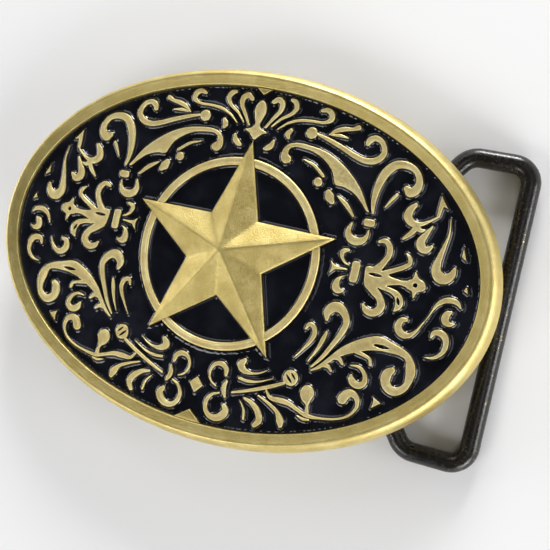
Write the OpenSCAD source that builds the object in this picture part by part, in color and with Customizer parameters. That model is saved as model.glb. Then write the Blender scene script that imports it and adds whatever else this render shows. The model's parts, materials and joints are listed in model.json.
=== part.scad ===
// Oval belt buckle with a raised star, a ring and scroll ornament standing in
// poured enamel, a swinging wire bail for the strap and a belt peg on the back.
//
// The buckle lies face up on a table at z = 0. The centre of the oval is at
// x = y = 0, +X runs along its width and +Y points to the top of the star.

/* [Oval] */
// Outer width of the oval, along X
oval_w = 94.5; // [90:0.5:99]
// Outer height of the oval, along Y
oval_h = 65.7; // [63:0.1:69]
// Width of the rim, from the field to the outer wall
rim_w = 3.25; // [2.8:0.05:3.6]
// Height of the back of the rim over the table, which is the length of the peg
stand_h = 5.9; // [5.6:0.1:7]

/* [Layers] */
// Depth of the recess in the back, inside the rim
recess_d = 0.4; // [0.2:0.1:0.6]
// Thickness of the sheet that carries the ornament
web_t = 0.8; // [0.6:0.1:1.2]
// Thickness of the enamel on the sheet
enamel_t = 0.9; // [0.6:0.1:1]
// Height of the scroll ornament over the enamel
relief_h = 0.45; // [0.3:0.05:0.6]
// Height of the rim's inner edge on the sheet
rim_edge_h = 1.8; // [1.6:0.1:2]
// Height of the rim's crest on the sheet
rim_crest_h = 2.35; // [2.1:0.05:2.6]

/* [Star and ring] */
// Radius of the circle through the tips of the star
star_tip_r = 19.9; // [18.5:0.1:20.5]
// Radius of the circle through the inner corners of the star
star_notch_r = 7.75; // [7:0.05:8.5]
// Height of the star's edge on the sheet
star_edge_h = 1.6; // [1.4:0.1:1.8]
// Height of the middle of the star on the sheet
star_peak_h = 4.9; // [4:0.1:6]
// Outer radius of the ring
ring_r = 17; // [16.5:0.1:17.3]
// Width of the ring
ring_w = 1.55; // [1.3:0.05:1.8]
// Height of the ring on the sheet
ring_h = 1.5; // [1.35:0.05:1.6]

/* [Bail] */
// Diameter of the bail wire
wire_d = 3.2; // [2.8:0.1:3.2]
// Clear width between the bail's arms, for the strap
loop_w = 46.6; // [44:0.1:48]
// Distance of the hinge axis from the centre of the oval
hinge_x = 27.6; // [26.5:0.1:28.5]
// Distance of the outer bar's axis from the hinge axis
bail_reach = 19.2; // [18:0.1:19.4]
// Outer diameter of the hinge tube
tube_d = 5; // [4.8:0.1:5.2]
// Length of the hinge tube
tube_l = 20; // [18:1:21]
// Radial play of the wire in the hinge tube
hinge_play = 0.05; // [0.03:0.01:0.08]

/* [Belt peg] */
// Diameter of the peg
peg_d = 4; // [3.6:0.1:4.4]
// Distance of the peg's root from the centre of the oval
peg_x = 27; // [25:0.5:30]
// Diameter of the flange at the peg's root
flange_d = 9; // [7:0.5:11]
// Thickness of the flange
flange_t = 0.8; // [0.6:0.1:1.2]

/* [Hidden] */

brass = "#c8ad62";
enamel = "#15161d";
black_steel = "#26231f";

// Heights over the table
web_z = stand_h + recess_d;
face_z = web_z + web_t;

// Half axes of the field inside the rim
field_a = oval_w / 2 - rim_w;
field_b = oval_h / 2 - rim_w;

// The ornament is drawn for a field of 44 x 29.6 and stretches with the field.
stretch = [field_a / 44, field_b / 29.6];

// Centres of the star and the ring, and the corners in the ovals
star_y = 0.35;
ring_y = 0.2;
oval_steps = 96;
// Points on each span of a curve, and on half of a round end
span_steps = 4;
cap_steps = 5;

// Hinge and bail
hinge_z = tube_d / 2;
wire_r = wire_d / 2;
bore_r = wire_r + hinge_play;
bail_droop = asin((hinge_z - wire_r) / bail_reach);
arm_y = loop_w / 2 + wire_r;
// Where the wire's ends stop in the tube, where the arms begin, and the bends.
// The wire spreads from neck to shoulder at 3 along to 4 across.
wire_end_y = 4;
shoulder_u = 8.7;
neck_y = arm_y - shoulder_u * 4 / 3;
neck_bend_r = 3;
shoulder_bend_r = 3.5;
corner_bend_r = 3.2;

// Saddle that holds the tube to the sheet
saddle_w = 6.4;
saddle_l = 14;
saddle_low_z = 3.2;

// ---------------------------------------------------------------- curves

// A point of a curve is [x, y, width]. Curves pass through their points, with
// knots spaced by the square root of the distance, which keeps them smooth.
function knot(t, a, b) = t + sqrt(norm([b.x - a.x, b.y - a.y]));
function mix(a, b, ta, tb, t) = a * (tb - t) / (tb - ta) + b * (t - ta) / (tb - ta);
function between(p0, p1, p2, p3, u) =
    let (t1 = knot(0, p0, p1), t2 = knot(t1, p1, p2), t3 = knot(t2, p2, p3))
    let (t = t1 + u * (t2 - t1))
    let (a1 = mix(p0, p1, 0, t1, t), a2 = mix(p1, p2, t1, t2, t), a3 = mix(p2, p3, t2, t3, t))
    mix(mix(a1, a2, 0, t2, t), mix(a2, a3, t1, t3, t), t1, t2, t);

function open_curve(p) =
    let (n = len(p), ends = concat([2 * p[0] - p[1]], p, [2 * p[n - 1] - p[n - 2]]))
    concat(
        [for (i = [0 : n - 2]) for (k = [0 : span_steps - 1])
            between(ends[i], ends[i + 1], ends[i + 2], ends[i + 3], k / span_steps)],
        [p[n - 1]]);

function closed_curve(p) =
    let (n = len(p))
    [for (i = [0 : n - 1]) for (k = [0 : span_steps - 1])
        between(p[(i + n - 1) % n], p[i], p[(i + 1) % n], p[(i + 2) % n], k / span_steps)];

function flat(v) = [v.x, v.y];
function heading(p, i) =
    let (a = p[max(i - 1, 0)], b = p[min(i + 1, len(p) - 1)])
    atan2(b.y - a.y, b.x - a.x);
function beside(p, angle) = flat(p) + max(p[2], 0.2) / 2 * [cos(angle), sin(angle)];
function fitted(p) = [for (v = p) [v.x * stretch.x, v.y * stretch.y]];

// A ribbon along an open curve, as wide as its points say, with round ends.
module ribbon(p) {
    c = open_curve(p);
    last = len(c) - 1;
    tail = heading(c, 0);
    tip = heading(c, last);
    right_side = [for (i = [0 : last]) beside(c[i], heading(c, i) - 90)];
    left_side = [for (i = [last : -1 : 0]) beside(c[i], heading(c, i) + 90)];
    tip_cap = [for (k = [1 : cap_steps - 1]) beside(c[last], tip - 90 + 180 * k / cap_steps)];
    tail_cap = [for (k = [1 : cap_steps - 1]) beside(c[0], tail + 90 + 180 * k / cap_steps)];
    polygon(fitted(concat(right_side, tip_cap, left_side, tail_cap)));
}

// A filled outline: smooth, or with the sharp corners of its own points.
module smooth_shape(p) {
    polygon(fitted(closed_curve([for (v = p) [v.x, v.y, 0]])));
}

module sharp_shape(p) {
    polygon(fitted(p));
}

module dot(x, y, r) {
    translate([x * stretch.x, y * stretch.y]) circle(r = r, $fn = 32);
}

// A lens-shaped slit of the given length, at an angle.
module slit(x, y, length, width, angle) {
    long = length / 2 * [cos(angle), sin(angle)];
    wide = width / 2 * [-sin(angle), cos(angle)];
    centre = [x, y];
    smooth_shape([centre - long, centre - wide, centre + long, centre + wide]);
}

module mirrored() {
    mirror([1, 0, 0]) children();
}

module both_sides() {
    children();
    mirrored() children();
}

// ---------------------------------------------------------------- outlines

function oval(a, b) =
    [for (i = [0 : oval_steps - 1]) [a * cos(360 * i / oval_steps), b * sin(360 * i / oval_steps)]];

module field_outline() {
    polygon(oval(field_a, field_b));
}

function star_corner(k) =
    let (r = k % 2 == 0 ? star_tip_r : star_notch_r, angle = 90 + 36 * k)
    [r * cos(angle), star_y + r * sin(angle)];

module star_outline() {
    polygon([for (k = [0 : 9]) star_corner(k)]);
}

module ring_outline(r) {
    translate([0, ring_y]) circle(r = r, $fn = 96);
}

module rim_top_point_outline() {
    intersection() {
        field_outline();
        sharp_shape([[-1.5, 31], [-1.5, 29.45], [0, 28.3], [1.5, 29.45], [1.5, 31]]);
    }
}

module rim_bottom_point_outline() {
    intersection() {
        field_outline();
        sharp_shape([[-4.2, -31], [-3.3, -29.9], [0, -27.5], [3.3, -29.9], [4.2, -31]]);
    }
}

module crown_finial_outline() {
    smooth_shape([
        [0, 27.5], [0.8, 26.9], [1.15, 25.7], [0.85, 24.4], [0.5, 23.3], [0.9, 22.6],
        [2.2, 22], [1.2, 21.5], [0.6, 20.9], [0, 20.4], [-0.6, 20.9], [-1.2, 21.5],
        [-2.2, 22], [-0.9, 22.6], [-0.5, 23.3], [-0.85, 24.4], [-1.15, 25.7], [-0.8, 26.9]]);
    both_sides() {
        ribbon([[1.6, 22.9, 0.5], [2.6, 24.5, 0.7], [3.7, 26.2, 0.9], [3.75, 27.4, 1.1],
            [2.9, 28, 1.1], [2.1, 27.5, 0.9]]);
        ribbon([[2.7, 23.2, 0.35], [4.1, 24.7, 0.55], [5.9, 26, 0.75], [6.5, 27.1, 0.95],
            [6.1, 28, 1], [5.4, 28.3, 0.7]]);
    }
}

module centre_diamond_outline() {
    sharp_shape([[0, -21.7], [1.4, -23.1], [0, -24.7], [-1.4, -23.1]]);
}

module top_curl_outline() {
    ribbon([[3.9, 22.9, 0.3], [5.5, 24.2, 0.5], [7.5, 25, 0.6], [9.8, 25.25, 0.55],
        [11.9, 25.3, 0.6], [13.1, 26, 1], [13, 27, 1.1], [12.1, 27.5, 0.95], [11.2, 27.3, 0.7]]);
    ribbon([[6.4, 23.1, 0.8], [6, 22.4, 1.1], [6.2, 21.8, 0.7]]);
    ribbon([[3.7, 20.8, 0.6], [3.4, 19.9, 1.1], [2.7, 19.35, 1], [2.3, 19.2, 0.6]]);
    dot(10.25, 23.25, 1.05);
    ribbon([[11.2, 23.25, 0.5], [13.8, 22.5, 0.8], [16.3, 21.6, 0.9], [18.8, 20.6, 1],
        [20.7, 20.15, 1.1], [22.4, 20.5, 1.2], [23.4, 21.7, 1.1], [23.3, 22.8, 1],
        [22.5, 23.8, 1], [21.4, 24.1, 1.1], [20.6, 23.6, 1.2], [20.4, 23, 0.9]]);
    ribbon([[13.4, 23.45, 0.35], [14.5, 24.3, 0.8], [15.9, 24.8, 0.9], [17.2, 25, 0.7],
        [18.2, 25.4, 1]]);
    ribbon([[13.8, 23.45, 0.35], [15.2, 23.6, 0.65], [16.8, 23.4, 0.3]]);
}

module upper_leaf_outline() {
    smooth_shape([
        [23.2, 11.9], [22.4, 13.3], [21, 15.4], [19, 17.4], [16.4, 19.3], [13.5, 20.6],
        [10.5, 21.15], [8.2, 21.25], [6.5, 20.7], [5.7, 19.5], [5.7, 18.1], [6.5, 17.3],
        [7.5, 17.6], [7.7, 18.4], [6.95, 19.1], [6.9, 19.8], [7.7, 20.35], [9.5, 20.35],
        [11.5, 20], [13.6, 19], [15.2, 17.6], [15.9, 16.3], [16.4, 15.35], [18, 15.15],
        [20, 14.4], [21.7, 13], [22.8, 11.9]]);
    ribbon([[9.9, 18.6, 0.3], [12, 17.9, 0.6], [14, 16.4, 0.6]]);
    dot(13.35, 15.25, 0.8);
    ribbon([[15.6, 13.8, 1.2], [16, 13.1, 1.7], [16.5, 12.5, 1.1]]);
    ribbon([[17.4, 13.5, 0.45], [19.1, 12.4, 0.85], [20.7, 10.8, 0.5]]);
}

module frond_outline() {
    ribbon([[23.9, 11.9, 0.5], [23.6, 13.6, 0.9], [23.7, 16.1, 1.3], [24.5, 18.8, 1.6],
        [25.9, 20.3, 1.5], [27.6, 20.6, 1.3], [29.3, 20, 1.1], [30.3, 18.5, 1.2],
        [30.1, 17, 1.6], [29.2, 16.4, 1.8], [28.5, 16.8, 1.1]]);
    smooth_shape([
        [22.8, 10.7], [22.8, 9.7], [23.7, 9.5], [24.6, 9.7], [24.6, 10.7], [23.7, 10.85]]);
    ribbon([[20.8, 9.6, 0.4], [20.5, 8.3, 1], [21, 7.2, 1.4], [22.1, 6.8, 1.5],
        [23.2, 7.1, 1.2], [23.8, 8, 0.7], [23.9, 8.9, 0.35]]);
    ribbon([[25.7, 13.2, 0.3], [26.5, 14.6, 0.6], [27.2, 15.6, 0.6]]);
}

module flame_leaf_outline() {
    sharp_shape([[34.4, 16.9], [35.2, 15.8], [36.1, 14.7], [35.15, 15], [34.9, 13.2],
        [34.3, 13], [34.3, 14.9]]);
    ribbon([[30.6, 14.5, 0.8], [29.9, 13.5, 1.3], [29.8, 12.4, 1.5], [30.8, 11.5, 1.3],
        [32.1, 11.6, 0.8], [33.5, 12.4, 0.5], [34.5, 13.2, 0.4]]);
    ribbon([[31.7, 11.3, 1], [30.9, 9.9, 0.9], [29.8, 8.75, 0.5]]);
    ribbon([[31.4, 11.1, 1.1], [32.4, 10.6, 0.8], [33, 10.8, 0.35]]);
    ribbon([[34.1, 11.6, 0.4], [33.3, 10.1, 1], [32.8, 8.9, 1.5], [33.1, 8, 1.6],
        [33.9, 7.7, 1.3], [34.7, 8.4, 0.6]]);
    ribbon([[36.7, 13.3, 0.25], [37, 11, 0.4], [36.7, 9, 0.7], [36.3, 6.8, 1.1],
        [36.2, 5, 1.6], [36.9, 3.95, 1.9], [37.95, 3.8, 1.7], [38.8, 4.6, 1.3], [39.05, 5.6, 0.7]]);
    sharp_shape([[39.7, 9.5], [39.7, 7.7], [40.7, 7.1]]);
    sharp_shape([[41.6, 3.4], [41.1, 2.6], [42.1, 2.1]]);
}

module side_fleur_outline() {
    smooth_shape([
        [22.55, 3.5], [22.5, 1.9], [22.6, 0.15], [23.2, 0], [23.8, 0.15], [23.95, 1.9],
        [23.8, 3.5], [23.2, 3.65]]);
    sharp_shape([[18.7, 2.95], [19.7, 2.3], [21.9, 2.1], [21.9, 1.8], [19.8, 1.5],
        [18.8, 0.45], [19.05, 1.8]]);
    ribbon([[21.3, 5.1, 0.6], [20.4, 4.7, 0.9], [20.5, 3.8, 0.7], [21.2, 3, 0.5], [22, 2.7, 0.3]]);
    smooth_shape([
        [22.1, 0.95], [21.1, 0.75], [20.25, 0.1], [19.9, -0.9], [20.1, -1.85], [20.9, -2.3],
        [21.8, -2.1], [22.2, -1.5], [21.5, -1.3], [21.15, -0.7], [21.1, 0], [21.4, 0.5]]);
    difference() {
        union() {
            smooth_shape([
                [24.9, 3.1], [26.2, 3.3], [27.8, 3], [29.3, 2.35], [31, 2.15], [32.4, 2.2],
                [32.4, 1.25], [31, 1.25], [29.3, 0.8], [28, 0.2], [26.6, -0.2], [25.3, 0.1],
                [24.9, 1.6]]);
            ribbon([[26.6, 2.8, 1.5], [27.6, 4.3, 1.1], [28.2, 5.8, 1.05], [27.95, 7.1, 1.1],
                [27.1, 7.8, 0.95], [26.1, 7.5, 0.6]]);
            ribbon([[28.2, 2.7, 1], [29.7, 3.5, 0.85], [31.1, 4.3, 0.85], [31.85, 5, 0.8],
                [31.7, 5.9, 0.75], [31, 6.5, 0.35]]);
            smooth_shape([
                [32.1, 2.35], [32.8, 2.8], [33.1, 4], [33.9, 3.1], [34.9, 2.6], [35.3, 1.8],
                [35, 1.15], [34.1, 0.7], [33.65, -0.45], [33.1, 0.7], [32.1, 1.1]]);
            ribbon([[28, 0.35, 0.8], [29.7, 0.15, 0.9], [31, -0.4, 1.2], [31.6, -1.4, 1.4],
                [31.5, -2.3, 1.1], [31.1, -2.9, 0.5]]);
            ribbon([[25.9, 0.4, 1.5], [27.1, -0.5, 1.5], [28.3, -1.5, 1.3], [28.8, -2.7, 1.4],
                [28.3, -3.7, 1.4], [27.4, -4.1, 1.3], [26.4, -3.8, 1.1], [25.8, -3.1, 0.5]]);
        }
        slit(26.7, 2.05, 2.2, 0.45, 0);
        dot(33.5, 1.8, 0.32);
        slit(31.35, -1.3, 1.3, 0.4, -65);
    }
}

module side_scroll_outline() {
    ribbon([[41.4, -0.2, 0.35], [40.8, 0.45, 0.8], [39.8, 0.7, 1], [38.6, 0.4, 0.95],
        [37.6, -0.5, 0.65], [37.15, -1.5, 0.35]]);
    ribbon([[35.9, -4.2, 0.35], [35.3, -5.3, 0.55], [34.4, -6.2, 0.9], [33.4, -6.35, 1.2],
        [32.5, -5.7, 1.35], [32.3, -4.8, 1.2], [32.7, -4.1, 1], [33.4, -3.9, 0.7]]);
    ribbon([[41, -2.8, 0.3], [40.3, -3.05, 0.85], [39.55, -2.75, 1.3], [39.35, -2.1, 1.3],
        [39.65, -1.45, 1.1], [40.1, -1.1, 0.5]]);
    ribbon([[37.6, -9.05, 0.25], [38.9, -8.8, 0.55], [40.1, -7.7, 0.8], [40.4, -6.3, 1],
        [39.9, -5.1, 1.2], [38.9, -4.7, 1.1], [38.1, -5, 0.85], [37.85, -5.7, 0.45]]);
}

// The thin middle of the S, which only the right-hand scroll shows.
module side_scroll_link_outline() {
    ribbon([[37.15, -1.5, 0.35], [36.8, -2.4, 0.3], [36.3, -3.4, 0.3], [35.9, -4.2, 0.35]]);
}

module crook_outline() {
    ribbon([[19.6, -15.1, 0.4], [20.9, -13.4, 0.7], [22.3, -10.8, 0.9], [23.45, -8.3, 1.1],
        [23.8, -6.6, 1.15], [23.1, -5.2, 1.4], [22, -4.5, 1.7], [20.95, -4.7, 1.8],
        [20.25, -5.7, 1.5], [20.4, -6.9, 0.6]]);
    ribbon([[18.8, -14.4, 0.25], [19.9, -12.2, 0.6], [20.6, -10, 0.8], [20.9, -8.9, 0.5]]);
    ribbon([[16.3, -14.4, 0.25], [17.6, -12.5, 0.5], [18.6, -10.8, 0.8], [18.9, -9.5, 0.9],
        [18.4, -8.5, 0.9], [17.65, -8.35, 0.8], [17.2, -9.2, 0.45]]);
}

module lower_acanthus_outline() {
    difference() {
        union() {
            ribbon([[19.7, -15.7, 0.35], [21, -14.75, 0.7], [22.5, -13.1, 0.9], [24.2, -11.4, 1.4],
                [26, -10.2, 1.9], [28, -9.2, 2.2], [30, -8.65, 2.4], [32, -8.85, 1.8],
                [33.8, -9.15, 1.35], [35.1, -9.8, 1.2], [35.8, -11.2, 1.7], [36, -12.6, 1.5],
                [35.85, -13.8, 1.2], [35.2, -14.9, 1.3], [34.1, -15.5, 1.5], [33, -15.2, 1.6],
                [32.3, -14.2, 1.7], [32.4, -13, 1.7], [33, -12.3, 1.1]]);
            ribbon([[26.2, -10.7, 0.9], [28, -11.1, 0.65], [29, -11.5, 0.6], [29.3, -12.3, 0.6]]);
            ribbon([[22.7, -12.8, 0.7], [23.9, -12.6, 0.85], [24.7, -13.3, 0.6]]);
            ribbon([[21.4, -14.4, 0.7], [22.4, -14.3, 0.75], [23.1, -14.9, 0.5]]);
        }
        slit(30.4, -9.05, 2.6, 0.5, 0);
    }
    ribbon([[26.1, -13.2, 0.3], [27.6, -13.15, 0.6], [28.75, -14.1, 0.8], [29, -15.3, 1],
        [28.35, -16, 1.2], [27.4, -15.95, 1.3], [26.8, -15.4, 1.2], [26.6, -14.85, 0.7]]);
    sharp_shape([[30.9, -17.1], [31.1, -18.1], [30.9, -19.2], [32.5, -17.9]]);
}

module bud_spray_outline() {
    ribbon([[26.05, -18.9, 1.7], [26.5, -18, 1.6], [27.4, -17.6, 1.3], [28.35, -18.1, 1],
        [28.7, -19.3, 0.7], [28.2, -20.6, 0.55], [27.2, -21.6, 0.5], [25.5, -22.4, 0.45],
        [23.2, -22.9, 0.5], [20.8, -23.1, 0.75], [18.8, -22.5, 0.7], [17.2, -21.95, 0.9],
        [15.5, -21.9, 1], [13.8, -21.85, 0.7], [12.9, -20.9, 0.45]]);
    smooth_shape([
        [20, -18.1], [20.9, -18.5], [21.25, -19.5], [20.95, -20.5], [20.75, -21.4],
        [21.05, -22.8], [20.3, -22.9], [20.2, -21.5], [19.3, -20.8], [18.75, -19.6], [19.1, -18.5]]);
    ribbon([[19.1, -23.5, 0.3], [20.3, -23.8, 0.55], [21.3, -23.7, 0.4]]);
    difference() {
        smooth_shape([
            [16.6, -16.4], [17.6, -16.8], [17.95, -17.9], [17.3, -19], [16.3, -19.1],
            [15.4, -18.6], [15.3, -17.5], [15.7, -16.7]]);
        slit(16.35, -18, 1.7, 0.3, -45);
        slit(17, -17.4, 1.3, 0.25, -45);
    }
    ribbon([[15.6, -18.95, 0.6], [14.4, -19.6, 0.7], [12.8, -20.4, 0.75], [9.5, -21.85, 0.65],
        [6.9, -22.8, 0.45]]);
    ribbon([[11.7, -22.1, 0.35], [13.8, -22.9, 0.6], [15.6, -23.9, 0.8], [16.5, -25.2, 1.4],
        [16.7, -25.9, 0.9]]);
    ribbon([[9.4, -23.2, 0.5], [10.8, -23.6, 0.9], [12.3, -24.8, 1.2], [12.8, -26.1, 1.2],
        [12.2, -27.1, 0.9]]);
    ribbon([[8.8, -23.9, 0.3], [9.7, -25.1, 0.5], [10, -26.6, 0.5]]);
}

module base_scroll_outline() {
    ribbon([[5.1, -20.3, 0.6], [4.9, -19.2, 0.95], [4, -18.6, 1], [2.8, -18.85, 0.8],
        [2.1, -19.9, 0.6], [2.2, -21.2, 0.5], [2.9, -22.1, 0.45], [3.7, -22.5, 0.35]]);
    ribbon([[5.5, -21.2, 0.5], [5.25, -22.2, 0.9], [5.4, -23.1, 0.9], [5.8, -23.9, 0.5]]);
    ribbon([[4.6, -23.5, 0.4], [3.35, -24.1, 0.6], [2.6, -25.4, 0.8], [2.8, -26.8, 0.9],
        [3.8, -27.75, 1], [5.2, -27.7, 1.3], [6.2, -26.9, 1.5], [6.45, -26, 1.3], [6, -25.4, 0.9]]);
    ribbon([[7.9, -16.95, 0.9], [7.4, -17.8, 1.5], [8.1, -18.6, 1.2], [9.5, -18.8, 0.6],
        [11, -18.4, 0.4], [12.3, -17.6, 0.25]]);
    ribbon([[7.6, -20.1, 0.55], [9, -20.25, 0.6], [11, -19.9, 0.45], [13.5, -18.75, 0.25]]);
}

// ---------------------------------------------------------------- plate

module base_plate() {
    color(brass) translate([0, 0, web_z]) linear_extrude(web_t) field_outline();
}

// The rim's section, as [distance out from the field, height over the table].
rim_section = [
    [0, stand_h + 0.2],
    [0.3, stand_h],
    [rim_w * 0.62, stand_h],
    [rim_w * 0.9, stand_h + 0.35],
    [rim_w, stand_h + 1],
    [rim_w * 0.96, face_z + 0.3],
    [rim_w * 0.9, face_z + 0.95],
    [rim_w * 0.82, face_z + 1.6],
    [rim_w * 0.7, face_z + rim_crest_h - 0.25],
    [rim_w * 0.56, face_z + rim_crest_h],
    [rim_w * 0.4, face_z + rim_crest_h - 0.14],
    [rim_w * 0.12, face_z + rim_edge_h + 0.04],
    [0, face_z + rim_edge_h - 0.12]
];

module rim_moulding() {
    m = len(rim_section);
    points = [for (i = [0 : oval_steps - 1]) for (s = rim_section)
        [(field_a + s[0]) * cos(360 * i / oval_steps), (field_b + s[0]) * sin(360 * i / oval_steps), s[1]]];
    faces = [for (i = [0 : oval_steps - 1]) for (k = [0 : m - 1])
        let (here = i * m, next = (i + 1) % oval_steps * m, up = (k + 1) % m)
        for (triangle = [[here + k, here + up, next + k], [here + up, next + up, next + k]])
            triangle];
    color(brass) polyhedron(points, faces);
}

module rim_top_point() {
    color(brass) translate([0, 0, face_z]) linear_extrude(rim_edge_h - 0.15) rim_top_point_outline();
}

module rim_bottom_point() {
    color(brass) translate([0, 0, face_z]) linear_extrude(rim_edge_h - 0.15) rim_bottom_point_outline();
}

// ---------------------------------------------------------------- enamel

module enamel_field() {
    color(enamel) translate([0, 0, face_z]) linear_extrude(enamel_t)
        difference() {
            field_outline();
            ring_outline(ring_r);
            star_outline();
            rim_top_point_outline();
            rim_bottom_point_outline();
        }
}

module enamel_star_cells() {
    color(enamel) translate([0, 0, face_z]) linear_extrude(enamel_t)
        difference() {
            ring_outline(ring_r - ring_w);
            star_outline();
        }
}

// ---------------------------------------------------------------- star

module star() {
    floor_corners = [for (k = [0 : 9]) concat(star_corner(k), face_z)];
    edge_corners = [for (k = [0 : 9]) concat(star_corner(k), face_z + star_edge_h)];
    bottom_centre = [0, star_y, face_z];
    peak = [0, star_y, face_z + star_peak_h];
    points = concat(floor_corners, edge_corners, [bottom_centre, peak]);
    faces = [for (k = [0 : 9])
        let (next = (k + 1) % 10)
        for (triangle = [[20, k, next], [k, 10 + k, next], [next, 10 + k, 10 + next], [10 + k, 21, 10 + next]])
            triangle];
    color(brass) polyhedron(points, faces);
}

module star_ring() {
    color(brass) translate([0, 0, face_z]) linear_extrude(ring_h)
        difference() {
            ring_outline(ring_r);
            ring_outline(ring_r - ring_w);
            star_outline();
        }
}

// ---------------------------------------------------------------- ornament

module relief() {
    color(brass) translate([0, 0, face_z + enamel_t]) linear_extrude(relief_h) children();
}

module crown_finial() { relief() crown_finial_outline(); }
module centre_diamond() { relief() centre_diamond_outline(); }
module top_curl_right() { relief() top_curl_outline(); }
module top_curl_left() { mirrored() relief() top_curl_outline(); }
module upper_leaf_right() { relief() upper_leaf_outline(); }
module upper_leaf_left() { mirrored() relief() upper_leaf_outline(); }
module frond_right() { relief() frond_outline(); }
module frond_left() { mirrored() relief() frond_outline(); }
module flame_leaf_right() { relief() flame_leaf_outline(); }
module flame_leaf_left() { mirrored() relief() flame_leaf_outline(); }
module side_fleur_right() { relief() side_fleur_outline(); }
module side_fleur_left() { mirrored() relief() side_fleur_outline(); }
module side_scroll_left() { mirrored() relief() side_scroll_outline(); }
module side_scroll_right() {
    relief() {
        side_scroll_outline();
        side_scroll_link_outline();
    }
}
module crook_right() { relief() crook_outline(); }
module crook_left() { mirrored() relief() crook_outline(); }
module lower_acanthus_right() { relief() lower_acanthus_outline(); }
module lower_acanthus_left() { mirrored() relief() lower_acanthus_outline(); }
module bud_spray_right() { relief() bud_spray_outline(); }
module bud_spray_left() { mirrored() relief() bud_spray_outline(); }
module base_scroll_right() { relief() base_scroll_outline(); }
module base_scroll_left() { mirrored() relief() base_scroll_outline(); }

// ---------------------------------------------------------------- back

module hinge_tube() {
    color(brass) translate([hinge_x, tube_l / 2, hinge_z]) rotate([90, 0, 0])
        difference() {
            cylinder(h = tube_l, d = tube_d, $fn = 64);
            translate([0, 0, -1]) cylinder(h = tube_l + 2, r = bore_r, $fn = 64);
        }
}

module tube_saddle() {
    color(brass) difference() {
        translate([hinge_x - saddle_w / 2, -saddle_l / 2, saddle_low_z])
            cube([saddle_w, saddle_l, web_z - saddle_low_z]);
        translate([hinge_x, saddle_l, hinge_z]) rotate([90, 0, 0])
            cylinder(h = 2 * saddle_l, d = tube_d, $fn = 64);
    }
}

// Points of the wire's axis, as [distance from the hinge axis, y], and the
// radius of the bend at each.
wire_path = [
    [0, wire_end_y], [0, neck_y], [shoulder_u, arm_y], [bail_reach, arm_y],
    [bail_reach, -arm_y], [shoulder_u, -arm_y], [0, -neck_y], [0, -wire_end_y]
];
wire_bends = [0, neck_bend_r, shoulder_bend_r, corner_bend_r,
    corner_bend_r, shoulder_bend_r, neck_bend_r, 0];

function step_dir(i) = (wire_path[i + 1] - wire_path[i]) / norm(wire_path[i + 1] - wire_path[i]);
function bend_angle(i) =
    let (a = step_dir(i - 1), b = step_dir(i))
    atan2(a.x * b.y - a.y * b.x, a.x * b.x + a.y * b.y);
function setback(i) = wire_bends[i] == 0 ? 0 : wire_bends[i] * tan(abs(bend_angle(i)) / 2);

module wire_straight(i) {
    dir = step_dir(i);
    start = wire_path[i] + setback(i) * dir;
    length = norm(wire_path[i + 1] - wire_path[i]) - setback(i) - setback(i + 1);
    translate([start.x, start.y, 0]) rotate([0, 90, atan2(dir.y, dir.x)])
        cylinder(h = length, r = wire_r, $fn = 48);
}

module wire_bend(i) {
    dir = step_dir(i - 1);
    turn = bend_angle(i);
    towards_centre = sign(turn) * [-dir.y, dir.x];
    start = wire_path[i] - setback(i) * dir;
    centre = start + wire_bends[i] * towards_centre;
    start_angle = atan2(-towards_centre.y, -towards_centre.x) + min(turn, 0);
    translate([centre.x, centre.y, 0]) rotate([0, 0, start_angle])
        rotate_extrude(angle = abs(turn), $fn = 96)
            translate([wire_bends[i], 0]) circle(r = wire_r, $fn = 48);
}

module bail_wire() {
    color(black_steel) translate([hinge_x, 0, hinge_z]) rotate([0, bail_droop, 0])
        union() {
            for (i = [0 : len(wire_path) - 2]) wire_straight(i);
            for (i = [1 : len(wire_path) - 2]) wire_bend(i);
        }
}

// The peg stands on the flange. Its round end touches the table.
peg_r = peg_d / 2;
flange_z = web_z - flange_t;

module belt_peg() {
    color(brass) translate([-peg_x, 0, 0]) {
        translate([0, 0, peg_r]) cylinder(h = flange_z - peg_r, r = peg_r, $fn = 48);
        intersection() {
            translate([0, 0, peg_r]) sphere(r = peg_r, $fn = 48);
            translate([-peg_d, -peg_d, -peg_d]) cube([2 * peg_d, 2 * peg_d, peg_d + peg_r]);
        }
    }
}

module peg_flange() {
    color(brass) translate([-peg_x, 0, flange_z]) cylinder(h = flange_t, d = flange_d, $fn = 64);
}

base_plate();
rim_moulding();
rim_top_point();
rim_bottom_point();
enamel_field();
enamel_star_cells();
star();
star_ring();
crown_finial();
centre_diamond();
top_curl_right();
top_curl_left();
upper_leaf_right();
upper_leaf_left();
frond_right();
frond_left();
flame_leaf_right();
flame_leaf_left();
side_fleur_right();
side_fleur_left();
side_scroll_right();
side_scroll_left();
crook_right();
crook_left();
lower_acanthus_right();
lower_acanthus_left();
bud_spray_right();
bud_spray_left();
base_scroll_right();
base_scroll_left();
hinge_tube();
tube_saddle();
bail_wire();
belt_peg();
peg_flange();
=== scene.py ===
"""Looks of an oval belt buckle: a faceted star, a ring and scrolls in cast antique
brass, glossy enamel poured round them, and a blackened wire bail on the back.

Lengths are in millimetres until a mesh is made. Outlines and places come from the
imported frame. "out" is a distance from a piece's outline.
"""

import json
import math

import bmesh
import bpy
import numpy as np
from mathutils import Matrix, Vector, kdtree
from mathutils.geometry import delaunay_2d_cdt


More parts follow.
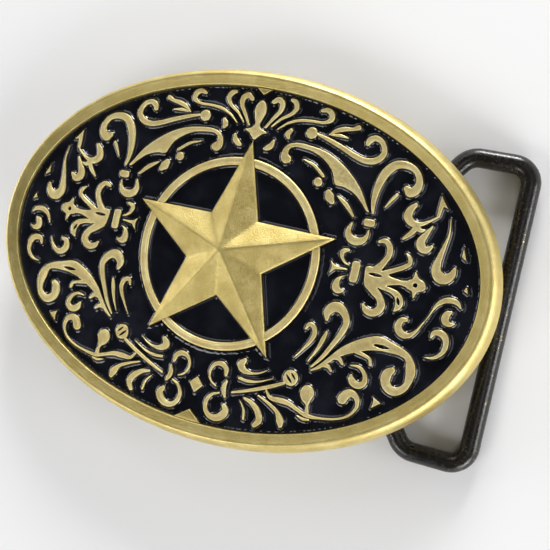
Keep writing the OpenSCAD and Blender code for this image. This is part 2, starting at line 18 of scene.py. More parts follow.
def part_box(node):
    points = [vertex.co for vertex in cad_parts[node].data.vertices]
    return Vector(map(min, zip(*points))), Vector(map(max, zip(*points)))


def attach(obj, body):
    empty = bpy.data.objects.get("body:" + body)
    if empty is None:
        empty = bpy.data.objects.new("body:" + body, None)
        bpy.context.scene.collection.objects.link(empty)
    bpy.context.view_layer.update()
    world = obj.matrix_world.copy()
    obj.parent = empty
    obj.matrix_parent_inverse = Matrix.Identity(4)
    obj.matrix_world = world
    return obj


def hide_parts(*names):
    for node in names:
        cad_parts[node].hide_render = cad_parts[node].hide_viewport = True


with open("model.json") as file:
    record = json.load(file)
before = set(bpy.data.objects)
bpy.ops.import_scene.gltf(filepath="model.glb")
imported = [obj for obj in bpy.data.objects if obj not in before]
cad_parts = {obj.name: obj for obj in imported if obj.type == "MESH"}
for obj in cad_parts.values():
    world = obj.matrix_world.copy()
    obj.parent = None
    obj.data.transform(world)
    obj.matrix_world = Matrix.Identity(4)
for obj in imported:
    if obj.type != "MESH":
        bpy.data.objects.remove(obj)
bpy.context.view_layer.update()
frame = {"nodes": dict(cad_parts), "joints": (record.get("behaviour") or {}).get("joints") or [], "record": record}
nodes = frame["nodes"]
MM = 0.001


def box_mm(node):
    lo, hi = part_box(node)
    return np.array(lo) / MM, np.array(hi) / MM


# Heights over the table and half axes, from the frame
enamel_top = box_mm("enamel_field")[1][2]
relief_top = box_mm("frond_right")[1][2]
ring_top = box_mm("star_ring")[1][2]
sheet_top = box_mm("base_plate")[1][2]
sheet_back = box_mm("base_plate")[0][2]
field_a, field_b = box_mm("base_plate")[1][:2]
rim_back = box_mm("rim_moulding")[0][2]
rim_crest = box_mm("rim_moulding")[1][2]
rim_w = box_mm("rim_moulding")[1][0] - field_a
point_top = box_mm("rim_bottom_point")[1][2]

# The enamel lies a little lower than its rim of contact with the metal.
ENAMEL_SINK = 0.2
MENISCUS_H = 0.38
MENISCUS_REACH = 0.24
# Relief starts under the enamel, so that the two meet without a gap.
RELIEF_ROOT = 0.45
# How far the middle of a broad scroll lies below its raised edge
EDGE_BEAD = 0.06
RING_BEAD = 0.07

# ---------------------------------------------------------------- outlines


def top_loops(node):
    """The outlines of a CAD node's flat top, as closed loops of points."""
    mesh = nodes[node].data
    places = np.array([v.co for v in mesh.vertices]) / MM
    top = places[:, 2].max()
    numbers = {}
    same = [numbers.setdefault((round(x, 3), round(y, 3), round(z, 3)), len(numbers)) for x, y, z in places]
    points = np.array(list(numbers))
    edges = set()
    for face in mesh.polygons:
        if all(places[v][2] > top - 0.01 for v in face.vertices):
            ring = [same[v] for v in face.vertices]
            edges.update(zip(ring, ring[1:] + ring[:1]))
    after = {}
    for a, b in edges:
        if (b, a) not in edges:
            after.setdefault(a, []).append(b)
    loops = []
    for start in sorted(after):
        while after[start]:
            loop = [start]
            here = after[start].pop()
            while here != start:
                loop.append(here)
                here = after[here].pop()
            loops.append(points[loop][:, :2])
    return loops


CORNER = math.radians(38)


def unit(v):
    return v / max(np.linalg.norm(v), 1e-9)


def smooth_loop(loop, step):
    """The same loop with its shallow bends made round and its sharp corners kept."""
    n = len(loop)
    sides = [loop[(i + 1) % n] - loop[i] for i in range(n)]
    turns = [math.acos(np.clip(unit(sides[i - 1]) @ unit(sides[i]), -1, 1)) for i in range(n)]
    made = []
    for i in range(n):
        a, b, side = loop[i], loop[(i + 1) % n], sides[i]
        length = np.linalg.norm(side)
        sharp_a, sharp_b = turns[i] > CORNER, turns[(i + 1) % n] > CORNER
        leave = unit(side) if sharp_a else unit(unit(sides[i - 1]) + unit(side))
        arrive = unit(side) if sharp_b else unit(unit(side) + unit(sides[(i + 1) % n]))
        count = max(1, math.ceil(length / step))
        for k in range(count):
            t = k / count
            made.append(
                (2 * t**3 - 3 * t**2 + 1) * a
                + (t**3 - 2 * t**2 + t) * length * leave
                + (3 * t**2 - 2 * t**3) * b
                + (t**3 - t**2) * length * arrive
            )
    return np.array(made)


def inward(loop):
    """Unit normals to the left of each point, which is where the metal is."""
    along = np.roll(loop, -1, 0) - np.roll(loop, 1, 0)
    normal = np.stack([-along[:, 1], along[:, 0]], 1)
    return normal / np.maximum(np.linalg.norm(normal, axis=1, keepdims=True), 1e-9)


def inside(points, loops):
    """Which points lie inside the loops, by the even-odd rule."""
    result = np.zeros(len(points), bool)
    for loop in loops:
        a, b = loop, np.roll(loop, -1, 0)
        for part in range(0, len(points), 4000):
            x, y = points[part : part + 4000, :1], points[part : part + 4000, 1:]
            crosses = (a[:, 1] > y) != (b[:, 1] > y)
            rise = np.where(a[:, 1] == b[:, 1], 1, b[:, 1] - a[:, 1])
            hit = crosses & (x < (b[:, 0] - a[:, 0]) * (y - a[:, 1]) / rise + a[:, 0])
            result[part : part + 4000] ^= hit.sum(1) % 2 == 1
    return result


def distance_to(loops, spacing=0.025):
    """A function that gives the distance of each point from the loops."""
    marks = []
    for loop in loops:
        for a, b in zip(loop, np.roll(loop, -1, 0)):
            count = max(1, math.ceil(np.linalg.norm(b - a) / spacing))
            marks.extend(a + (b - a) * k / count for k in range(count))
    tree = kdtree.KDTree(len(marks))
    for i, (x, y) in enumerate(marks):
        tree.insert((x, y, 0), i)
    tree.balance()
    return lambda points: np.array([tree.find((x, y, 0))[2] for x, y in points])


def hex_grid(lo, hi, step):
    rows = []
    for k, y in enumerate(np.arange(lo[1], hi[1], step * math.sqrt(3) / 2)):
        x = np.arange(lo[0] + (k % 2) * step / 2, hi[0], step)
        rows.append(np.stack([x, np.full(len(x), y)], 1))
    return np.concatenate(rows)


# A point of a row is kept if it is at least this share of the row's distance from
# every outline, so that rows do not cross in narrow places.
NEARLY = 0.94


def spread(loops, rows, step):
    """Points inside the loops: rows that follow the outline, then an even grid."""
    far = distance_to(loops)
    found = []
    for row in rows:
        for loop in loops:
            near = loop + inward(loop) * row
            keep = far(near) > NEARLY * row
            found.append(near[keep])
    everything = np.concatenate(loops)
    grid = hex_grid(everything.min(0), everything.max(0), step)
    grid = grid[far(grid) > rows[-1] + 0.55 * step]
    points = np.concatenate(found + [grid])
    return points[inside(points, loops)], far


# ---------------------------------------------------------------- meshes


ALL_TRIANGLES = 0


def triangles(loops, extra):
    """Points and triangles that fill the loops, holes left open, and each point's
    number in the loops taken one after another, or more for an extra point."""
    points = [Vector(p) for loop in loops for p in loop] + [Vector(p) for p in extra]
    edges, start = [], 0
    for loop in loops:
        edges += [(start + k, start + (k + 1) % len(loop)) for k in range(len(loop))]
        start += len(loop)
    made = delaunay_2d_cdt(points, edges, [], ALL_TRIANGLES, 1e-6)
    places = np.array([tuple(p) for p in made[0]])
    faces = np.array(made[2])
    faces = faces[inside(places[faces].mean(1), loops)]
    numbers = [int(ids[0]) if ids else -1 for ids in made[3]]
    return places, faces, numbers


def new_object(name, vertices, faces):
    mesh = bpy.data.meshes.new(name)
    mesh.from_pydata([Vector(v) * MM for v in vertices], [], [list(f) for f in faces])
    mesh.validate()
    mesh.polygons.foreach_set("use_smooth", [True] * len(mesh.polygons))
    mesh.update()
    obj = bpy.data.objects.new(name, mesh)
    bpy.context.scene.collection.objects.link(obj)
    return obj


def paint(obj, name, values):
    """A number for each vertex that materials can read."""
    layer = obj.data.attributes.new(name, "FLOAT", "POINT")
    layer.data.foreach_set("value", np.asarray(values, np.float32))


def softened(z, faces, fixed, passes):
    """Heights evened out over the triangles, apart from the fixed points."""
    a, b = faces.ravel(), np.roll(faces, -1, 1).ravel()
    count = np.bincount(a, minlength=len(z)) + np.bincount(b, minlength=len(z))
    for _ in range(passes):
        total = np.bincount(a, z[b], len(z)) + np.bincount(b, z[a], len(z))
        even = (z + total / np.maximum(count, 1)) / 2
        z = np.where(fixed, z, even)
    return z


def slab(name, loops, extra, height, low, edge_of=None, passes=0):
    """A closed solid between the level low and the surface height(points)."""
    points, top, place = triangles(loops, extra)
    flat, under, flat_place = triangles(loops, [])
    on_outline = np.array([0 <= p < sum(map(len, loops)) for p in place])
    z = softened(height(points), top, on_outline, passes)
    vertices = [(x, y, h) for (x, y), h in zip(points, z)]
    start = len(vertices)
    vertices += [(x, y, low) for x, y in flat]
    top_of = {p: i for i, p in enumerate(place) if p >= 0}
    low_of = {p: start + i for i, p in enumerate(flat_place) if p >= 0}
    faces = top.tolist() + (start + under[:, ::-1]).tolist()
    first = 0
    for loop in loops:
        for k in range(len(loop)):
            a, b = first + k, first + (k + 1) % len(loop)
            faces.append([top_of[b], top_of[a], low_of[a], low_of[b]])
        first += len(loop)
    obj = new_object(name, vertices, faces)
    if edge_of:
        depth = np.concatenate([edge_of(points), np.zeros(len(flat))])
        paint(obj, "from_edge", depth)
    return obj


def dome(out, radius):
    """0 at the outline and 1 from radius inwards, round like a quarter circle."""
    t = 1 - np.clip(out / radius, 0, 1)
    return np.sqrt(1 - t * t)


def ease(t):
    t = np.clip(t, 0, 1)
    return t * t * (3 - 2 * t)


# ---------------------------------------------------------------- materials


class Shader:
    """A material's node tree, with short calls for the nodes that repeat."""

    def __init__(self, name):
        self.material = bpy.data.materials.new(name)
        self.material.use_nodes = True
        self.tree = self.material.node_tree
        self.surface = self.tree.nodes["Principled BSDF"]
        self.place = self.node("ShaderNodeTexCoord").outputs["Object"]

    def node(self, kind, **values):
        made = self.tree.nodes.new(kind)
        for key, value in values.items():
            setattr(made, key, value)
        return made

    def link(self, source, socket):
        self.tree.links.new(source, socket)

    def attribute(self, name):
        return self.node("ShaderNodeAttribute", attribute_name=name).outputs["Fac"]

    def noise(self, size_mm, detail=2.0, rough=0.5):
        made = self.node("ShaderNodeTexNoise")
        made.inputs["Scale"].default_value = 1 / (size_mm * MM)
        made.inputs["Detail"].default_value = detail
        made.inputs["Roughness"].default_value = rough
        self.link(self.place, made.inputs["Vector"])
        return made.outputs["Fac"]

    def ramp(self, value, low, high, to_low=0.0, to_high=1.0):
        made = self.node("ShaderNodeMapRange", interpolation_type="SMOOTHSTEP")
        for key, number in zip(("From Min", "From Max", "To Min", "To Max"), (low, high, to_low, to_high)):
            made.inputs[key].default_value = number
        self.link(value, made.inputs["Value"])
        return made.outputs["Result"]

    def maths(self, operation, a, b):
        made = self.node("ShaderNodeMath", operation=operation)
        for socket, value in zip(made.inputs, (a, b)):
            if isinstance(value, (int, float)):
                socket.default_value = value
            else:
                self.link(value, socket)
        return made.outputs[0]

    def mix(self, share, a, b):
        made = self.node("ShaderNodeMix", data_type="RGBA")
        self.link(share, made.inputs["Factor"])
        for key, value in (("A", a), ("B", b)):
            socket = next(s for s in made.inputs if s.name == key and s.type == "RGBA")
            if isinstance(value, tuple):
                socket.default_value = (*value, 1)
            else:
                self.link(value, socket)
        return next(s for s in made.outputs if s.type == "RGBA")

    def bump(self, height, depth_mm, below=None):
        made = self.node("ShaderNodeBump")
        made.inputs["Distance"].default_value = depth_mm * MM
        made.inputs["Strength"].default_value = 1.0
        self.link(height, made.inputs["Height"])
        if below:
            self.link(below, made.inputs["Normal"])
        return made.outputs["Normal"]

    def set(self, **sockets):
        for key, value in sockets.items():
            socket = self.surface.inputs[key.replace("_", " ").title() if key != "IOR" else key]
            if isinstance(value, (int, float)):
                socket.default_value = value
            elif isinstance(value, tuple):
                socket.default_value = (*value, 1)
            else:
                self.link(value, socket)
        return self.material


def cast_brass(name, light, deep, dark, roughness, grain=0.02, foot=None, hollow=None, shade_band=None):
    """Sand-blasted brass with a cloudy tone. foot is how far its edge is darkened where it
    meets the enamel, partly antique blackening and partly painted shade, hollow is the
    distance from the edge where the patina is left in the middle, and band is where a
    painted olive shade on the rim's inner slope ends, measured from the edge."""
    s = Shader(name)
    tone = s.mix(s.ramp(s.noise(3.2, 3), 0.35, 0.68), deep, light)
    if hollow:
        middle = s.ramp(s.attribute("from_edge"), *hollow, 0.0, 0.5)
        tone = s.mix(middle, tone, deep)
    tone = s.mix(s.ramp(s.noise(0.22, 2), 0.56, 0.75, 0, 0.3), tone, dark)
    # Darker at the foot, where the piece meets the enamel: partly antique blackening, partly painted shade.
    if foot:
        ragged = s.maths("MULTIPLY", s.noise(0.45, 2), -0.06)
        near = s.maths("ADD", s.attribute("from_edge"), ragged)
        tone = s.mix(s.ramp(near, 0.0, foot, 0.95, 0.0), tone, dark)
    # Painted shade: an olive tint on the rim's inner slope, from the field up to about the crest.
    if shade_band:
        tone = s.mix(s.ramp(s.attribute("from_edge"), *shade_band, 0.4, 0.0), tone, OLIVE_SHADE)
    rough = s.ramp(s.noise(0.6, 3), 0.3, 0.7, roughness - 0.05, roughness + 0.05)
    coarse = s.bump(s.noise(0.5, 2), 0.03)
    fine = s.bump(s.noise(0.2, 2), grain, below=coarse)
    return s.set(base_color=tone, metallic=1.0, roughness=rough, normal=fine)


def poured_enamel():
    """Glossy blue-black enamel, with a faint haze and very shallow waves."""
    s = Shader("enamel")
    haze = s.ramp(s.noise(5, 3), 0.4, 0.72)
    tone = s.mix(haze, (0.0045, 0.005, 0.008), (0.011, 0.012, 0.018))
    rough = s.ramp(s.noise(1.5, 3), 0.3, 0.75, 0.04, 0.11)
    waves = s.bump(s.noise(4.0, 1), 0.008)
    return s.set(base_color=tone, roughness=rough, normal=waves, IOR=1.52)


def blackened_wire():
    """Black finish on the bail, rubbed through to brass in specks and streaks."""
    s = Shader("blackened_wire")
    specks = s.ramp(s.noise(0.5, 4, 0.65), 0.6, 0.68)
    patches = s.ramp(s.noise(3.5, 3), 0.42, 0.62)
    worn = s.maths("MULTIPLY", specks, patches)
    tone = s.mix(worn, (0.010, 0.009, 0.008), (0.34, 0.25, 0.10))
    rough = s.ramp(s.noise(0.8, 3), 0.3, 0.7, 0.2, 0.34)
    metal = s.ramp(worn, 0.2, 0.7, 0.0, 1.0)
    rubbed = s.bump(s.noise(0.3, 3), 0.02)
    return s.set(base_color=tone, metallic=metal, roughness=rough, normal=rubbed)


LIGHT_BRASS = (0.66, 0.54, 0.215)
DEEP_BRASS = (0.53, 0.42, 0.15)
DARK_BRASS = (0.06, 0.042, 0.017)
# A painted shade colour for the rim's inner slope
OLIVE_SHADE = (0.22, 0.17, 0.045)
# Painted light: brighter copies of the brass for the scrolls and the ring, lighter than the star's brass so that
# they stand in for the light they catch.
LIT_PALE_BRASS = (0.95, 0.82, 0.42)
LIT_WARM_BRASS = (0.82, 0.67, 0.30)
relief_brass = cast_brass(
    "relief_brass", LIT_PALE_BRASS, LIT_WARM_BRASS, DARK_BRASS, 0.52, 0.02, foot=0.1, hollow=(0.3, 0.75)
)
# The star and the rim points get the darkened foot as well: partly antique blackening, partly painted shade.
face_brass = cast_brass("face_brass", LIGHT_BRASS, DEEP_BRASS, DARK_BRASS, 0.5, 0.055, 0.1)
ring_brass = cast_brass("ring_brass", LIT_PALE_BRASS, LIT_WARM_BRASS, DARK_BRASS, 0.55, 0.02, 0.08)
# The rim's inner slope carries a painted olive shade.
rim_brass = cast_brass(
    "rim_brass", (0.78, 0.65, 0.28), (0.66, 0.53, 0.2), DARK_BRASS, 0.48, 0.03, shade_band=(1.1, 1.75)
)
back_brass = cast_brass("back_brass", (0.52, 0.42, 0.22), (0.40, 0.32, 0.165), DARK_BRASS, 0.5, 0.03)
enamel = poured_enamel()
wire_black = blackened_wire()


def finish_piece(obj, material, body, slot, *replaced):
    """Gives a piece its material and its body, and hides the CAD nodes that it stands for. slot is not used."""
    obj.data.materials.append(material)
    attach(obj, body)
    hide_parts(*replaced)
    return obj


# ---------------------------------------------------------------- relief

ORNAMENTS = ["crown_finial", "centre_diamond"] + [
    f"{motif}_{side}"
    for motif in (
        "top_curl", "upper_leaf", "frond", "flame_leaf", "side_fleur",
        "side_scroll", "crook", "lower_acanthus", "bud_spray", "base_scroll",
    )
    for side in ("right", "left")
]
# Each scroll's outline, for the enamel that climbs round it
outlines = {}


def relief_piece(node):
    """A scroll: steep at its foot, with a raised round edge and a shallow hollow between."""
    loops = [smooth_loop(loop, 0.16) for loop in top_loops(node)]
    outlines[node] = loops
    extra, far = spread(loops, (0.04, 0.09, 0.16, 0.26, 0.38, 0.52), 0.2)
    root = enamel_top - RELIEF_ROOT
    full = relief_top - root

    def height(points):
        out = far(points)
        return root + full * (0.55 + 0.45 * dome(out, 0.18)) - EDGE_BEAD * ease((out - 0.2) / 0.6)

    piece = slab(node + "_cast", loops, extra, height, root - 0.1, far)
    return finish_piece(piece, relief_brass, "plate", "antique_brass", node)


for ornament in ORNAMENTS:
    relief_piece(ornament)

# ---------------------------------------------------------------- ring, rim points


def raised_piece(node, top, round_r, row_steps, grid):
    """A flat-topped piece with a rounded edge."""
    loops = [smooth_loop(loop, 0.3) for loop in top_loops(node)]
    extra, far = spread(loops, row_steps, grid)

    def height(points):
        return top - round_r * (1 - dome(far(points), round_r))

    piece = slab(node + "_cast", loops, extra, height, sheet_top, far)
    return finish_piece(piece, face_brass, "plate", "antique_brass", node)


RING_ROUND = 0.4
RING_ROWS = 19
RING_STEPS = 240


def ring_piece():
    """The ring runs on through the star's arms, where the star hides it."""
    lo, hi = box_mm("star_ring")
    middle = (lo + hi) / 2
    outer = (hi[1] - lo[1]) / 2
    places = np.array([v.co for v in nodes["star_ring"].data.vertices])[:, :2] / MM
    inner = np.linalg.norm(places - middle[:2], axis=1).min()
    half = (outer - inner) / 2
    section = []
    for share in np.sin(np.linspace(-math.pi / 2, math.pi / 2, RING_ROWS)):
        out = half * (1 - abs(share))
        bead = RING_BEAD * ease((out - 0.3) / 0.3)
        z = ring_top - RING_ROUND * (1 - dome(out, RING_ROUND)) - bead
        section.append((outer - half + half * share, z, out))
    section = [(inner, sheet_top, 0), *section, (outer, sheet_top, 0)]
    vertices, faces, outs = [], [], []
    rows = len(section)
    for i in range(RING_STEPS):
        turn = 2 * math.pi * i / RING_STEPS
        for radius, z, out in section:
            vertices.append((middle[0] + radius * math.cos(turn), middle[1] + radius * math.sin(turn), z))
            outs.append(out)
        for k in range(rows):
            here, after, up = i * rows, (i + 1) % RING_STEPS * rows, (k + 1) % rows
            faces.append([here + k, here + up, after + up, after + k])
    piece = new_object("star_ring_cast", vertices, faces)
    paint(piece, "from_edge", outs)
    return finish_piece(piece, ring_brass, "plate", "antique_brass", "star_ring")


ring_piece()
raised_piece("rim_top_point", point_top, 0.3, (0.06, 0.14, 0.3), 0.3)
raised_piece("rim_bottom_point", point_top, 0.3, (0.06, 0.14, 0.3), 0.4)

# ---------------------------------------------------------------- star

star_places = np.array([v.co for v in nodes["star"].data.vertices]) / MM
star_peak = star_places[star_places[:, 2].argmax()]
star_middle = star_peak[:2]
star_levels = star_places[:, 2]
between = (star_levels > sheet_top + 0.5) & (star_levels < star_peak[2] - 0.5)
edge_level = np.median(star_levels[between])


def star_corners():
    """The ten corners, from the tip that points along +Y, counterclockwise."""
    found = {}
    for x, y, z in star_places:
        if abs(z - edge_level) < 0.05:
            found[(round(x, 2), round(y, 2))] = None
    flat = np.array(list(found)) - star_middle
    turn = np.degrees(np.arctan2(flat[:, 1], flat[:, 0])) - 90 + 5
    return (flat + star_middle)[np.argsort(turn % 360)]


RIDGE_ROUND = 0.26
STAR_EDGE_ROUND = 0.3


def soft_min(a, b):
    return (a + b - np.sqrt((a - b) ** 2 + RIDGE_ROUND**2)) / 2


def star_piece():
    """Ten facets with rounded ridges and valleys, over upright sides."""
    corners = star_corners()
    # A facet's plane: level at the star's edge, star_peak in the middle
    planes = []
    for k in range(10):
        a, b = corners[k], corners[(k + 1) % 10]
        system = np.array([[*a, 1], [*b, 1], [*star_middle, 1]])
        planes.append(np.linalg.solve(system, [edge_level, edge_level, star_peak[2]]))
    side = np.unique(np.concatenate([np.linspace(0, 1, 15), [0.01, 0.025, 0.05, 0.95, 0.975, 0.99]]))
    reach = np.unique(np.concatenate([np.linspace(0, 1, 40), [0.985, 0.992, 0.997]]))[1:]
    vertices, keys = [(*star_middle, star_peak[2])], {}

    def place(k, i, j):
        """Number of the grid point i along facet k's edge and j out from the middle."""
        k, i = ((k + 1) % 10, 0) if i == len(side) - 1 else (k, i)
        if (k, i, j) not in keys:
            edge = corners[k] + side[i] * (corners[(k + 1) % 10] - corners[k])
            x, y = star_middle + reach[j] * (edge - star_middle)
            own, before, after = (planes[n % 10] @ (x, y, 1) for n in (k, k - 1, k + 1))
            ridge, valley = (before, after) if k % 2 == 0 else (after, before)
            z = own + soft_min(own, ridge) - min(own, ridge)
            z -= soft_min(-own, -valley) - min(-own, -valley)
            line = unit(corners[(k + 1) % 10] - corners[k])
            offset = star_middle - corners[k]
            out = abs(line[0] * offset[1] - line[1] * offset[0]) * (1 - reach[j])
            z -= STAR_EDGE_ROUND * (1 - float(dome(np.array(out), STAR_EDGE_ROUND)))
            keys[(k, i, j)] = len(vertices)
            vertices.append((x, y, z))
            outs.append(out)
        return keys[(k, i, j)]

    outs = [6.0]
    faces = []
    last = len(reach) - 1
    for k in range(10):
        for i in range(len(side) - 1):
            faces.append([0, place(k, i, 0), place(k, i + 1, 0)])
            for j in range(last):
                faces.append([place(k, i, j), place(k, i, j + 1), place(k, i + 1, j + 1), place(k, i + 1, j)])
    rim_keys = [(k, i) for k in range(10) for i in range(len(side) - 1)]
    top_ring = [place(k, i, last) for k, i in rim_keys]
    low = len(vertices)
    vertices += [(*vertices[v][:2], sheet_top) for v in top_ring]
    outs += [0.0] * len(top_ring)
    for n in range(len(top_ring)):
        m = (n + 1) % len(top_ring)
        faces.append([top_ring[m], top_ring[n], low + n, low + m])
    faces.append([low + n for n in reversed(range(len(top_ring)))])
    vertices[0] = (*star_middle, star_peak[2] - RIDGE_ROUND / 2)
    piece = new_object("star_cast", vertices, faces)
    paint(piece, "from_edge", outs)
    return finish_piece(piece, face_brass, "plate", "antique_brass", "star")


star_piece()

# ---------------------------------------------------------------- enamel


def enamel_piece(node, loops, holes, step):
    """Enamel that climbs a little where it touches metal. It runs on under the scrolls."""
    walls = loops + holes
    climb = distance_to(walls)
    extra, _ = spread(loops, (0.05, 0.1, 0.18, 0.3, 0.5, 0.8), step)
    rows = [extra]
    for out in (0.0, 0.06, 0.13, 0.24, 0.42):
        for loop in holes:
            near = loop - inward(loop) * out
            rows.append(near[climb(near) > 0.94 * out - 0.001])
    for loop in holes:
        rows.append(loop + inward(loop) * 0.08)
    if holes:
        rows[0] = extra[climb(extra) > 0.3]
    points = np.concatenate(rows)
    points = points[inside(points, loops)]

    def height(places):
        out = climb(places)
        under = inside(places, holes) if holes else np.zeros(len(places), bool)
        z = enamel_top - ENAMEL_SINK + MENISCUS_H * np.exp(-out / MENISCUS_REACH)
        return np.where(under, z - 1.5 * np.minimum(out, 0.2), z)

    piece = slab(node + "_poured", loops, points, height, sheet_top, passes=1)
    return finish_piece(piece, enamel, "plate", "black_enamel", node)


def enamel_loops(node):
    return [smooth_loop(loop, 0.35) for loop in top_loops(node)]


enamel_piece("enamel_star_cells", enamel_loops("enamel_star_cells"), [], 0.6)
scroll_loops = [loop for name in ORNAMENTS for loop in outlines[name]]
enamel_piece("enamel_field", enamel_loops("enamel_field"), scroll_loops, 0.5)

# ---------------------------------------------------------------- rim

# The rim's section: share of its width from the field, and height over the table
RIM_SECTION = [
    (0.0, sheet_top + 0.1), (0.0, rim_crest - 0.75), (0.03, rim_crest - 0.62), (0.12, rim_crest - 0.5),
    (0.3, rim_crest - 0.27), (0.46, rim_crest - 0.06), (0.54, rim_crest), (0.6, rim_crest - 0.04),
    (0.7, rim_crest - 0.25), (0.82, rim_crest - 0.78), (0.9, rim_crest - 1.45), (0.96, rim_crest - 2.1),
    (1.0, rim_back + 1.0), (0.97, rim_back + 0.55), (0.89, rim_back + 0.2), (0.76, rim_back + 0.04),
    (0.62, rim_back), (0.2, rim_back), (0.06, rim_back + 0.1), (0.0, rim_back + 0.35),
    (0.0, sheet_back + 0.1),
]
RIM_STEPS = 360
SPAN = 3


def rounded(points, span):
    """A closed curve through the points, with span steps between each two."""
    made = []
    n = len(points)
    for i in range(n):
        p0, p1, p2, p3 = (np.array(points[(i + k) % n], float) for k in (-1, 0, 1, 2))
        m1 = (p2 - p0) / 2 * min(1, np.linalg.norm(p2 - p1) / max(np.linalg.norm(p2 - p0) / 2, 1e-6))
        m2 = (p3 - p1) / 2 * min(1, np.linalg.norm(p2 - p1) / max(np.linalg.norm(p3 - p1) / 2, 1e-6))
        for k in range(span):
            t = k / span
            made.append(
                (2 * t**3 - 3 * t**2 + 1) * p1 + (t**3 - 2 * t**2 + t) * m1
                + (3 * t**2 - 2 * t**3) * p2 + (t**3 - t**2) * m2
            )
    return made


def rim_piece():
    """The rim's section swept round the oval."""
    section = rounded([(share * rim_w, z) for share, z in RIM_SECTION], SPAN)
    section = [(min(max(out, 0), rim_w), min(max(z, rim_back), rim_crest)) for out, z in section]
    vertices, faces, outs = [], [], []
    m = len(section)
    for i in range(RIM_STEPS):
        turn = 2 * math.pi * i / RIM_STEPS
        for out, z in section:
            vertices.append(((field_a + out) * math.cos(turn), (field_b + out) * math.sin(turn), z))
            outs.append(out)
        for k in range(m):
            here, after = i * m, (i + 1) % RIM_STEPS * m
            up = (k + 1) % m
            faces.append([here + k, here + up, after + up, after + k])
    piece = new_object("rim_cast", vertices, faces)
    paint(piece, "from_edge", outs)
    return finish_piece(piece, rim_brass, "plate", "antique_brass", "rim_moulding")


rim_piece()

# ---------------------------------------------------------------- bail and back


hinge = next(j for j in frame["joints"] if j["name"] == "bail_hinge")
hinge_at = np.array(hinge["pos_m"]) / MM
bar = next(m for m in frame["record"]["mounts"] if m["name"] == "strap_bar")
bar_at = np.array(bar["pos_m"]) / MM
WIRE_R = bar["dims"]["r_mm"]
BAIL_REACH = float(np.linalg.norm(bar_at - hinge_at))
ARM_Y = box_mm("bail_wire")[1][1] - WIRE_R
# The wire leaves the tube, then spreads at 3 along to 4 across as far as the shoulder.
SHOULDER = 8.7
NECK_Y = ARM_Y - SHOULDER * 4 / 3
WIRE_END_Y = 4.0
BENDS = (3.0, 3.5, 3.2)
WIRE_SIDES = 40


def bail_line():
    """The wire's axis in the bail's plane as [distance from the hinge, y]."""
    half = [(0, WIRE_END_Y), (0, NECK_Y), (SHOULDER, ARM_Y), (BAIL_REACH, ARM_Y)]
    corners = [np.array(p, float) for p in half + [(u, -v) for u, v in reversed(half)]]
    bends = (0, *BENDS, *reversed(BENDS), 0)
    line = [corners[0]]
    for i in range(1, len(corners) - 1):
        before, after = unit(corners[i - 1] - corners[i]), unit(corners[i + 1] - corners[i])
        half_angle = math.acos(np.clip(before @ after, -1, 1)) / 2
        centre = corners[i] + unit(before + after) * bends[i] / math.sin(half_angle)
        setback = bends[i] / math.tan(half_angle)
        first, last = corners[i] + before * setback - centre, corners[i] + after * setback - centre
        sweep = math.pi - 2 * half_angle
        for k in range(13):
            share = k / 12
            a = math.sin((1 - share) * sweep) / math.sin(sweep)
            b = math.sin(share * sweep) / math.sin(sweep)
            line.append(centre + a * first + b * last)
    line.append(corners[-1])
    return line


def bail_piece():
    """Round wire along the bail's line, from one end in the tube to the other."""
    line = bail_line()
    droop = math.asin((hinge_at[2] - WIRE_R) / BAIL_REACH)
    place = Matrix.Translation(Vector(hinge_at)) @ Matrix.Rotation(droop, 4, "Y")
    vertices, faces = [], []
    for i, p in enumerate(line):
        along = unit(line[min(i + 1, len(line) - 1)] - line[max(i - 1, 0)])
        side = (-along[1], along[0])
        for s in range(WIRE_SIDES):
            turn = 2 * math.pi * s / WIRE_SIDES
            out, up = WIRE_R * math.cos(turn), WIRE_R * math.sin(turn)
            vertices.append(place @ Vector((p[0] + side[0] * out, p[1] + side[1] * out, up)))
    for r in range(len(line) - 1):
        for s in range(WIRE_SIDES):
            a, b, t = r * WIRE_SIDES, (r + 1) * WIRE_SIDES, (s + 1) % WIRE_SIDES
            faces.append([a + s, a + t, b + t, b + s])
    last = (len(line) - 1) * WIRE_SIDES
    faces.append(list(reversed(range(WIRE_SIDES))))
    faces.append([last + s for s in range(WIRE_SIDES)])
    piece = new_object("bail", vertices, faces)
    return finish_piece(piece, wire_black, "bail", "blackened_steel", "bail_wire")


bail_piece()

def eased_piece(node, edge_r):
    """A back fitting in the shape of its CAD node, with its sharp edges rounded."""
    form = bmesh.new()
    form.from_mesh(nodes[node].data)
    bmesh.ops.remove_doubles(form, verts=form.verts, dist=0.001 * MM)
    flat = math.radians(1)
    bmesh.ops.dissolve_limit(form, angle_limit=flat, verts=form.verts, edges=form.edges)
    sharp = [e for e in form.edges if len(e.link_faces) == 2 and e.calc_face_angle() > CORNER]
    bmesh.ops.bevel(
        form, geom=sharp, offset=edge_r * MM, segments=3, profile=0.5, affect="EDGES", clamp_overlap=True
    )
    mesh = bpy.data.meshes.new(node + "_eased")
    form.to_mesh(mesh)
    form.free()
    mesh.polygons.foreach_set("use_smooth", [True] * len(mesh.polygons))
    mesh.set_sharp_from_angle(angle=CORNER)
    piece = bpy.data.objects.new(node + "_eased", mesh)
    bpy.context.scene.collection.objects.link(piece)
    return finish_piece(piece, back_brass, "plate", "back_brass", node)


eased_piece("hinge_tube", 0.25)
eased_piece("tube_saddle", 0.5)
eased_piece("belt_peg", 0.1)
eased_piece("peg_flange", 0.25)
nodes["base_plate"].data.materials.clear()
nodes["base_plate"].data.materials.append(back_brass)

# ---------------------------------------------------------------- stage

# Half the floor's side, in metres
BACKDROP = 0.5


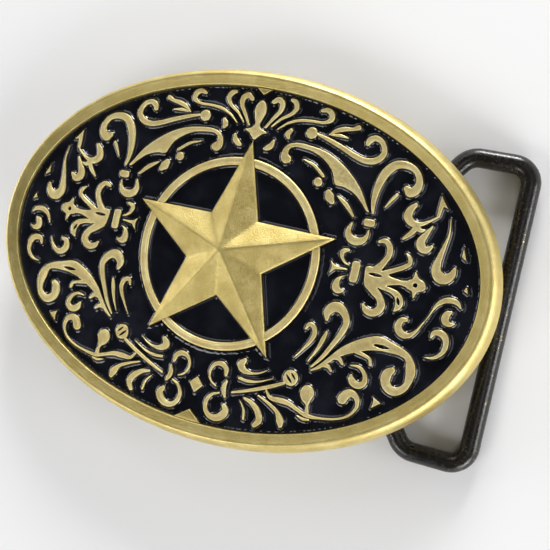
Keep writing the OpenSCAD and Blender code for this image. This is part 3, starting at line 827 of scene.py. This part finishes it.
def floor_piece():
    """Pale paper under the buckle."""
    s = Shader("paper")
    tone = s.mix(s.noise(60, 2), (0.86, 0.86, 0.86), (0.89, 0.89, 0.89))
    material = s.set(base_color=tone, roughness=0.9)
    half = BACKDROP / MM
    corners = [(-half, -half, 0), (half, -half, 0), (half, half, 0), (-half, half, 0)]
    floor = new_object("floor", corners, [[0, 1, 2, 3]])
    floor.data.materials.append(material)


# How far the lamps stand from the buckle, in metres
LAMP_DISTANCE = 0.6


def softbox(name, towards, width, height, radiance):
    """An area light that faces the buckle from the direction towards."""
    light = bpy.data.lights.new(name, "AREA")
    light.shape = "RECTANGLE"
    light.size, light.size_y = width, height
    light.energy = radiance * math.pi * width * height
    lamp = bpy.data.objects.new(name, light)
    lamp.location = Vector(towards).normalized() * LAMP_DISTANCE
    lamp.rotation_mode = "QUATERNION"
    lamp.rotation_quaternion = Vector(towards).to_track_quat("Z", "Y")
    bpy.context.scene.collection.objects.link(lamp)


def aim(azimuth, elevation):
    """A direction: azimuth from +X towards +Y, elevation from the table, in degrees."""
    a, e = math.radians(azimuth), math.radians(elevation)
    return (math.cos(a) * math.cos(e), math.sin(a) * math.cos(e), math.sin(e))


floor_piece()
# Low lights all round, brightest behind the top edge, and a faint one beside the
# camera. Overhead it is dark otherwise, so the flat enamel stays black.
for name, azimuth, elevation, width, height, radiance in (
    ("behind", 90, 18, 0.18, 0.12, 44),
    ("behind_left", 120, 40, 0.3, 0.2, 2),
    ("left", 180, 20, 0.3, 0.2, 4.2),
    ("front_left", 240, 40, 0.3, 0.2, 5.5),
    ("front_right", 315, 18, 0.3, 0.2, 10.5),
    ("right", 0, 18, 0.3, 0.2, 7.5),
    ("beside_camera", 0, 70, 0.3, 0.2, 1.0),
):
    softbox(name, aim(azimuth, elevation), width, height, radiance)


def room():
    """A room that is bright near the horizon and dark above."""
    world = bpy.data.worlds.new("room")
    bpy.context.scene.world = world
    world.use_nodes = True
    tree = world.node_tree
    split = tree.nodes.new("ShaderNodeSeparateXYZ")
    fade = tree.nodes.new("ShaderNodeMapRange")
    fade.interpolation_type = "SMOOTHSTEP"
    for key, number in (("From Min", 0.3), ("From Max", 0.42), ("To Min", 0.9), ("To Max", 0.04)):
        fade.inputs[key].default_value = number
    direction = tree.nodes.new("ShaderNodeTexCoord").outputs["Generated"]
    tree.links.new(direction, split.inputs["Vector"])
    tree.links.new(split.outputs["Z"], fade.inputs["Value"])
    background = tree.nodes["Background"]
    background.inputs["Color"].default_value = (1, 1, 1, 1)
    tree.links.new(fade.outputs["Result"], background.inputs["Strength"])


room()
bpy.context.scene.view_settings.view_transform = "Standard"

# The camera looks down on the face from the bail's side, turned a little.
CAMERA_AT = Vector((64.8, -3.2, 150.8)) * MM
CAMERA_AZIMUTH, CAMERA_ELEVATION, CAMERA_ROLL = -1.61, 68.83, -75.2
camera = bpy.data.objects.new("camera", bpy.data.cameras.new("camera"))
camera.data.lens = 58.91
camera.data.sensor_width = 36
camera.data.clip_start = 0.005
back = Vector(aim(CAMERA_AZIMUTH, CAMERA_ELEVATION))
level = Vector((0, 0, 1)).cross(back).normalized()
roll = Matrix.Rotation(math.radians(CAMERA_ROLL), 3, back)
right = roll @ level
pose = Matrix((right, back.cross(right), back)).transposed().to_4x4()
camera.matrix_world = Matrix.Translation(CAMERA_AT) @ pose
bpy.context.scene.collection.objects.link(camera)
bpy.context.scene.camera = camera
